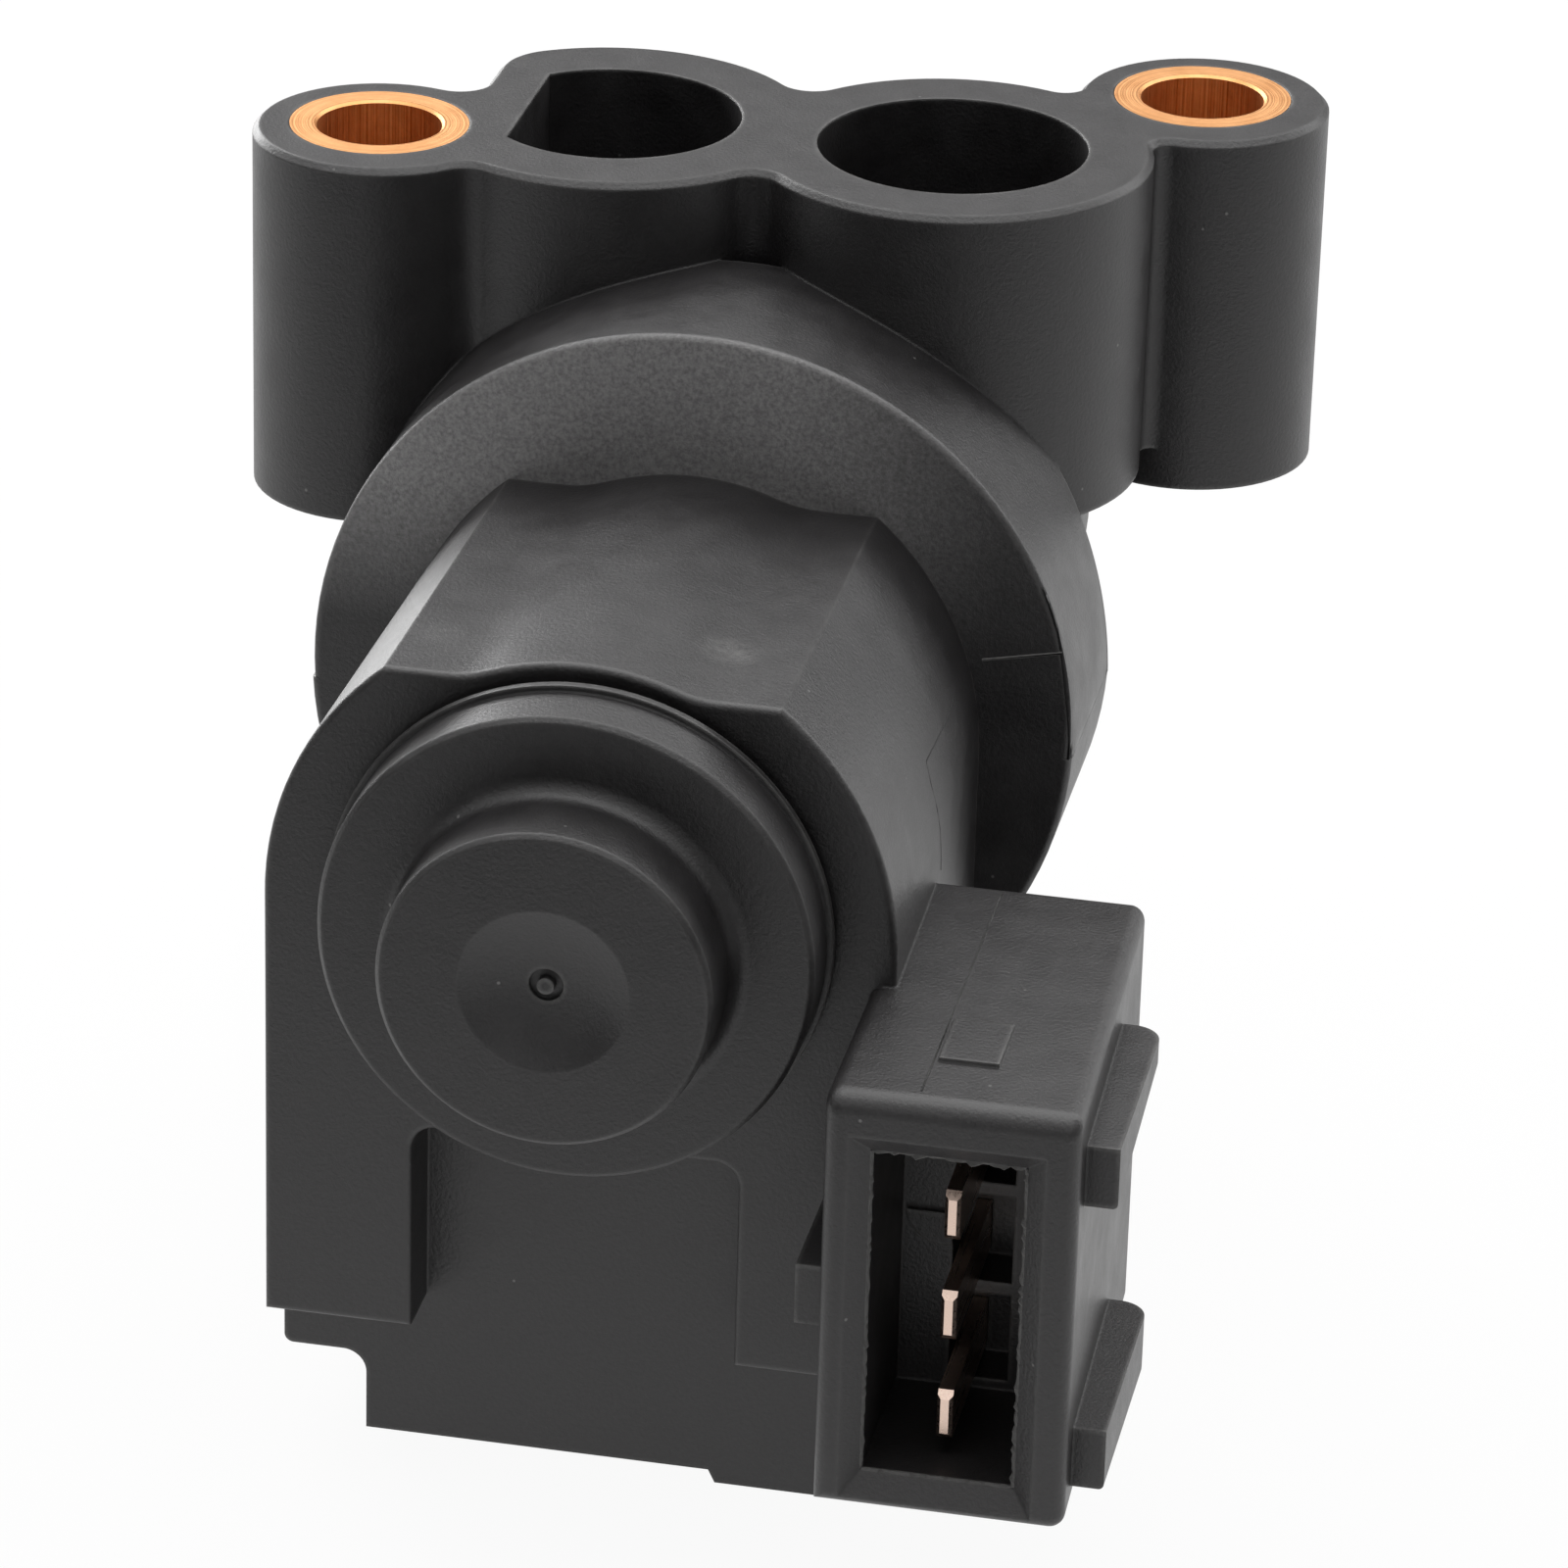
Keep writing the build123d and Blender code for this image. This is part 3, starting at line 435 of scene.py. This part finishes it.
sheet_iron = banded("stacked_sheet_iron", (0.10, 0.10, 0.11), (0.30, 0.30, 0.31), "Y", 0.5 * MM, (0.55, 0.40))
wire_turns = banded("enamelled_wire", (0.30, 0.09, 0.03), (0.68, 0.28, 0.11), "X", 0.25 * MM, (0.40, 0.26))
ferrite = speckled("ferrite", (0.035, 0.035, 0.037), (0.065, 0.065, 0.067), 3000.0, (0.55, 0.70))
bronze = speckled("sintered_bronze", (0.34, 0.19, 0.075), (0.55, 0.34, 0.14), 5000.0, (0.40, 0.60), 1.0)
nylon = speckled("natural_nylon", (0.56, 0.52, 0.43), (0.66, 0.62, 0.54), 900.0, (0.45, 0.55))
rubber = speckled("seal_rubber", (0.010, 0.010, 0.010), (0.018, 0.018, 0.018), 4000.0, (0.60, 0.75))
slide_plastic = speckled("slide_plastic", (0.020, 0.020, 0.021), (0.032, 0.032, 0.033), 2500.0, (0.40, 0.50))
hidden = (sheet_iron, wire_turns, ferrite, bronze, nylon, rubber, slide_plastic)
print("hidden finishes:", [finish.name for finish in hidden])

# %% [markdown]
# ## Give each node its finish
# A CAD node keeps its mesh, so dressing it only means putting a finish in its material slot.

# %% Dress the CAD nodes
finishes = {
    "valve_body": valve_black,
    "motor_housing": motor_black,
    "front_cap": motor_black,
    "rear_cover": motor_black,
    "terminal_upper": blade_metal,
    "terminal_middle": blade_metal,
    "terminal_lower": blade_metal,
    "rotor_shaft": shaft_steel,
    "rotor_hub": shaft_steel,
    "slide_clip": shaft_steel,
    "front_thrust_washer": shaft_steel,
    "rear_thrust_washer": shaft_steel,
    "rotor_magnet": ferrite,
    "rotary_slide": slide_plastic,
    "front_bush": bronze,
    "rear_bush": bronze,
    "stator_leg_left": sheet_iron,
    "stator_leg_right": sheet_iron,
    "coil_core": sheet_iron,
    "coil_bobbin": nylon,
    "winding_left": wire_turns,
    "winding_right": wire_turns,
    "spigot_o_ring": rubber,
    **sleeve_brass,
}
for node, finish in finishes.items():
    nodes[node].data.materials.clear()
    nodes[node].data.materials.append(finish)
print("dressed", len(finishes), "of", len(nodes), "nodes")

# %% [markdown]
# ## Lines that the mould left
# Where two halves of a mould meet, the plastic creeps into the joint and leaves a hair-thin line. Such a
# line could be painted in the material, but a real one stands up a few hundredths of a millimetre and
# catches the light, so it is a strip of mesh laid along points on the surface. A grid four lines wide is
# bent to the path: its two middle lines stand up, its two outer lines sink in, and a fill closes it.

# %% Strip helper
SINK = 0.02 * MM


def as_piece(name, shape, finish):
    """Turns a finished bmesh into a piece of the housing."""
    bmesh.ops.recalc_face_normals(shape, faces=shape.faces)
    data = bpy.data.meshes.new(name)
    shape.to_mesh(data)
    shape.free()
    piece = bpy.data.objects.new(name, data)
    bpy.context.scene.collection.objects.link(piece)
    data.materials.append(finish)
    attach(piece, "housing")
    return piece


def mould_line(name, path, facing, width, heights, finish):
    """A ridge along a path; facing(point) is the way the surface looks, heights has one per point."""
    last = len(path) - 1
    ridge = bmesh.new()
    bmesh.ops.create_grid(ridge, x_segments=last, y_segments=3, size=1.0)
    for vert in ridge.verts:
        along, side = round((vert.co.x + 1) / 2 * last), vert.co.y
        ahead = path[min(along + 1, last)] - path[max(along - 1, 0)]
        outward = facing(path[along]).normalized()
        across = outward.cross(ahead).normalized() * width / 2
        level = heights[along] if abs(side) < 0.5 else -SINK
        vert.co = path[along] + across * side + outward * level
    bmesh.ops.edgeloop_fill(ridge, edges=[edge for edge in ridge.edges if edge.is_boundary])
    return as_piece(name, ridge, finish)


print("strip helper ready")

# %% [markdown]
# Three such lines show. A pale one runs along the top of the connector, a dark one crosses the right
# wall of the motor body, where one slide of the mould met the other, and a short ridge lies on the disc.
# The dark one is painted near-black as the shadow of its hairline gap, and the disc's ridge is painted
# pale as a highlight.
# Their points were read off the surface, so each line lies on what carries it.

# %% Three mould lines
connector_top = -28.5 * MM
connector_line = [Vector((19.85 * MM, y * MM, connector_top)) for y in (-61.3, -55.0, -49.0, -43.5, -38.0)]
wall_line = [
    Vector(place) * MM
    for place in (
        (15.28, -28.57, -21.91), (15.38, -31.13, -22.08), (15.39, -34.39, -21.89), (15.39, -37.29, -21.72),
        (15.73, -37.49, -22.89), (16.04, -37.12, -24.46), (16.18, -36.79, -25.74), (16.23, -36.54, -26.95),
        (16.23, -36.31, -28.09), (16.23, -36.25, -28.45),
    )
]
disc_places = ((15.95, -21.78), (18.1, -21.33), (20.34, -20.87))
disc_line = [Vector((x * MM, disc_face, z * MM)) for x, z in disc_places]
# Near-black for the body's seam: painted shadow of its hairline gap, darker than the plastic round it.
SEAM_SHADOW_TONES = ((0.003, 0.003, 0.003), (0.008, 0.008, 0.008))
seam_shadow_black = speckled("mould_seam_painted_shadow", *SEAM_SHADOW_TONES, 3000.0, (0.70, 0.85))
# Pale grey for thin ridges; on the disc's ridge the pale is a painted highlight.
pale_ridge_plastic = speckled("pale_ridge_plastic", (0.04, 0.039, 0.038), RUBBED_AND_HIGHLIGHT_GREY, 2500.0, (0.50, 0.65))
lines = [
    mould_line("connector_parting_line", connector_line, lambda p: Vector((0, 0, 1)),
               0.14 * MM, [0.03 * MM] * len(connector_line), motor_black),
    mould_line("body_mould_seam", wall_line, lambda p: Vector((p.x, 0, p.z - axis_height)),
               0.16 * MM, [0.02 * MM] * len(wall_line), seam_shadow_black),
    # The disc's ridge is painted pale as a highlight.
    mould_line("disc_witness_line", disc_line, lambda p: Vector((0, -1, 0)),
               0.22 * MM, [0.05 * MM] * len(disc_line), pale_ridge_plastic),
]
print("mould lines:", [line.name for line in lines])

# %% [markdown]
# ## A smooth rim on the disc
# The CAD disc is made of two halves. The upper one was drafted so that it leaves its mould, and the lower
# one was not, so a ledge a few tenths of a millimetre wide is left where they meet. On the real part the
# two run into each other. On the right, where it shows, a thin pad fills the ledge: a grid bent to the
# upper half's rim starts out flush with the ledge and dies away upwards and at the front. On the left a
# bolt passes close by, so that side is left alone. The pad is thinner than the reach of the corner finder,
# which would take all of it for a corner, so its finish has no pale corners, either rubbed or painted
# highlight.

# %% Rim pad
DISC_MIDDLE_X = -0.25 * MM
UPPER_MIDDLE_Z = axis_height + 0.3 * MM
LOWER_RADIUS = 21.35 * MM
RIM_RADII = (20.95 * MM, 21.25 * MM)
RIM_Y = (disc_face + 12.3 * MM, disc_face)
LEDGE_Z = axis_height - 1.0 * MM
PAD_HEIGHT = 10.0 * MM
PAD_STEPS = 24


def half_width(radius, height):
    """How far a circle reaches sideways at a height above its middle."""
    return math.sqrt(radius ** 2 - height ** 2)


pad = bmesh.new()
bmesh.ops.create_grid(pad, x_segments=PAD_STEPS, y_segments=PAD_STEPS, size=1.0)
ledge = half_width(LOWER_RADIUS, LEDGE_Z - axis_height)
for vert in pad.verts:
    up, ahead = (vert.co.x + 1) / 2, (vert.co.y + 1) / 2
    radius = RIM_RADII[0] + (RIM_RADII[1] - RIM_RADII[0]) * ahead
    z = LEDGE_Z - SINK + PAD_HEIGHT * up
    step = ledge - half_width(radius, LEDGE_Z - UPPER_MIDDLE_Z)
    dies_away = (1 - up) ** 2 * (1 - ahead ** PAD_STEPS)
    reach = half_width(radius, z - UPPER_MIDDLE_Z) + (step + SINK) * dies_away - SINK * (1 - dies_away)
    vert.co = (DISC_MIDDLE_X + reach, RIM_Y[0] + (RIM_Y[1] - RIM_Y[0]) * ahead, z)
bmesh.ops.edgeloop_fill(pad, edges=[edge for edge in pad.edges if edge.is_boundary])
rim_pad = as_piece("disc_rim_pad", pad, moulded_black("disc_rim_black", worn_and_highlit=False))
print("rim pad:", len(rim_pad.data.polygons), "faces")

# %% [markdown]
# ## Ragged flash in the connector's mouth
# The mouth of the connector has a sloping lead-in, and at its inner edge a thin ragged skin of plastic
# was left by a worn mould. It is the same kind of ridge, laid along the four inner edges, with a seeded
# random height at each point, so that it comes out the same on every run.

# %% Mouth flash
MOUTH_X = (17.55 * MM, 25.45 * MM)
MOUTH_Z = (-50.35 * MM, -31.90 * MM)
MOUTH_Y = -61.80 * MM
FLASH_STEP = 0.28 * MM
FLASH_WIDTH = 0.24 * MM
FLASH_HEIGHT = 0.26 * MM
chance = random.Random(11)


def flash_edge(name, start, end, inward):
    """Ragged skin along one inner edge of the mouth, from corner to corner."""
    count = round((end - start).length / FLASH_STEP)
    path = [start.lerp(end, step / count) for step in range(count + 1)]
    heights = [chance.uniform(0.0, FLASH_HEIGHT) * chance.uniform(0.3, 1.0) for _ in path]
    return mould_line(name, path, lambda p: inward - Vector((0, 1, 0)), FLASH_WIDTH, heights, pale_ridge_plastic)


(left, right), (low, high) = MOUTH_X, MOUTH_Z
corners = [Vector((x, MOUTH_Y, z)) for x, z in ((left, high), (right, high), (right, low), (left, low))]
inward_ways = [Vector((0, 0, -1)), Vector((-1, 0, 0)), Vector((0, 0, 1)), Vector((1, 0, 0))]
flash = [
    flash_edge("mouth_flash_" + side, corners[turn], corners[(turn + 1) % 4], inward_ways[turn])
    for turn, side in enumerate(("top", "right", "bottom", "left"))
]
print("flash:", [len(piece.data.polygons) for piece in flash], "faces")

# %% [markdown]
# ## Floor
# The valve stands on a plain pale floor. A product photograph has a pure white ground, which would
# take far too much lamp light on a real floor, so rays that come straight from the camera see mostly
# white, and a part of the floor's own shading stays in, so that it keeps the shadow. Reflections see
# the same white near the valve. It fades towards the camera, where the photographer's floor lay beyond
# the lamps, and that keeps the upper fronts of the black plastic dark.

# %% Floor
FLOOR_HALF = 1.5
floor_mesh = bmesh.new()
bmesh.ops.create_grid(floor_mesh, x_segments=1, y_segments=1, size=FLOOR_HALF)
bmesh.ops.translate(floor_mesh, verts=floor_mesh.verts, vec=(0.0, 0.0, cad_box[0].z))
floor_data = bpy.data.meshes.new("floor")
floor_mesh.to_mesh(floor_data)
floor_mesh.free()
floor = bpy.data.objects.new("floor", floor_data)
bpy.context.scene.collection.objects.link(floor)
print("floor at", round(cad_box[0].z / MM, 2), "mm")

# %% [markdown]
# The finish mixes the floor's own shading with a white glow, and the kind of ray decides how much of the
# glow it sees. The world further down needs the same split between what is seen and what is mirrored, so
# one helper gives both.

# %% Floor finish
FLOOR_WHITE_SHARE = 0.94
FLOOR_GREY = (0.90, 0.90, 0.90, 1.0)
WHITE = (1.0, 1.0, 1.0, 1.0)
FADE_Y = (-0.19, -0.10)
FADE = (0.12, 1.0)


def white_to(tree, fade):
    """1 for rays from the camera, the fade socket for mirrored rays, 0 for light that falls on things."""
    rays = add_node(tree, "LightPath").outputs
    mirrored = math_node(tree, "MAXIMUM", rays["Is Glossy Ray"], rays["Is Transmission Ray"])
    return math_node(tree, "MAXIMUM", rays["Is Camera Ray"], math_node(tree, "MULTIPLY", mirrored, fade))


pale_floor, floor_tree, floor_shader = blank_finish("pale_floor")
floor_shader.inputs["Base Color"].default_value = FLOOR_GREY
floor_shader.inputs["Roughness"].default_value = 0.9
glow = add_node(floor_tree, "Emission", {"Color": WHITE})
fade = map_range(floor_tree, split(floor_tree, object_point(floor_tree))["Y"], FADE_Y, FADE)
white = white_to(floor_tree, fade)
floor_tree.links.new(white, glow.inputs["Strength"])
mix = add_node(floor_tree, "MixShader")
seen = math_node(floor_tree, "GREATER_THAN", white, 0.0)
share = math_node(floor_tree, "MULTIPLY", seen, FLOOR_WHITE_SHARE)
floor_tree.links.new(share, mix.inputs["Fac"])
floor_tree.links.new(floor_shader.outputs["BSDF"], mix.inputs[1])
floor_tree.links.new(glow.outputs["Emission"], mix.inputs[2])
floor_tree.links.new(mix.outputs["Shader"], floor_tree.nodes["Material Output"].inputs["Surface"])
floor_data.materials.append(pale_floor)
print("floor finish", pale_floor.name)

# %% [markdown]
# ## White surroundings
# Satin black plastic shows its surroundings more than its own colour. In the photograph it mirrors the
# white floor and a bright ceiling, with a dark band round the horizon between them. A world that is
# white all round would wash the blacks out, so the camera sees white everywhere, but reflections see
# white only well above the horizon, and the light that falls on things gets a weak even fill.

# %% World
WORLD_FILL = 0.03
CEILING_START = (0.26, 0.40)
world = bpy.data.worlds.new("studio")
bpy.context.scene.world = world
world.use_nodes = True
sky = world.node_tree
sky.nodes["Background"].inputs["Color"].default_value = WHITE
way = split(sky, add_node(sky, "TexCoord").outputs["Generated"])
ceiling = map_range(sky, way["Z"], CEILING_START, (0.0, 1.0))
strength = math_node(sky, "MAXIMUM", white_to(sky, ceiling), WORLD_FILL)
sky.links.new(strength, sky.nodes["Background"].inputs["Strength"])
print("world fill", WORLD_FILL)

# %% [markdown]
# ## Soft lamps
# The lamps stand behind the valve, left and right, where they draw pale rims down its flanks. A broad
# one hangs overhead, and a weak one low in front shows in the cap's dimple. Each is a square softbox at
# the same distance, given by the way it stands round the valve, its height, its size and its power. The
# powers were fitted to the photograph.

# %% Lamps
LAMP_DISTANCE = 0.60
target = Vector((0.0, -0.025, -0.028))
softboxes = {
    "behind_left_low": (225, 10, 0.30, 2.00),
    "behind_right_low": (135, 12, 0.30, 0.52),
    "behind_left": (225, 35, 0.30, 0.85),
    "behind_right": (140, 35, 0.30, 0.45),
    "overhead": (180, 78, 0.85, 4.40),
    "front_low": (5, 3, 0.16, 0.12),
}
for name, (around, height, size, power) in softboxes.items():
    lamp = bpy.data.lights.new(name, "AREA")
    lamp.shape = "SQUARE"
    lamp.size = size
    lamp.energy = power
    box = bpy.data.objects.new(name, lamp)
    turn, tilt = math.radians(around), math.radians(height)
    aim = Vector((math.sin(turn) * math.cos(tilt), -math.cos(turn) * math.cos(tilt), math.sin(tilt)))
    box.location = target + aim * LAMP_DISTANCE
    box.rotation_euler = aim.to_track_quat("Z", "Y").to_euler()
    bpy.context.scene.collection.objects.link(box)
print("lamps:", list(softboxes))

# %% [markdown]
# ## Camera
# The camera's place, tilt and lens were fitted to points on the photograph, so that the render can be
# laid over it. A long lens keeps the parallel edges nearly parallel.

# %% Camera
CAMERA_ANGLES = (10.788, 25.255, 1.664)
CAMERA_PLACE = Vector((74.85, -389.07, 145.0)) * MM
FOCAL_LENGTH = 171.84
azimuth, elevation, roll = (math.radians(angle) for angle in CAMERA_ANGLES)
lens = bpy.data.cameras.new("photo_camera")
lens.lens = FOCAL_LENGTH
lens.sensor_width = 36.0
lens.clip_start = 0.01
lens.clip_end = 10.0
camera = bpy.data.objects.new("photo_camera", lens)
look = Matrix.Rotation(azimuth, 4, "Z") @ Matrix.Rotation(math.pi / 2 - elevation, 4, "X")
place = Matrix.Translation(CAMERA_PLACE)
camera.matrix_world = place @ look @ Matrix.Rotation(roll, 4, "Z")
bpy.context.scene.collection.objects.link(camera)
bpy.context.scene.camera = camera
bpy.context.scene.view_settings.view_transform = "Standard"
print("camera", [round(v / MM, 1) for v in camera.location], "mm")
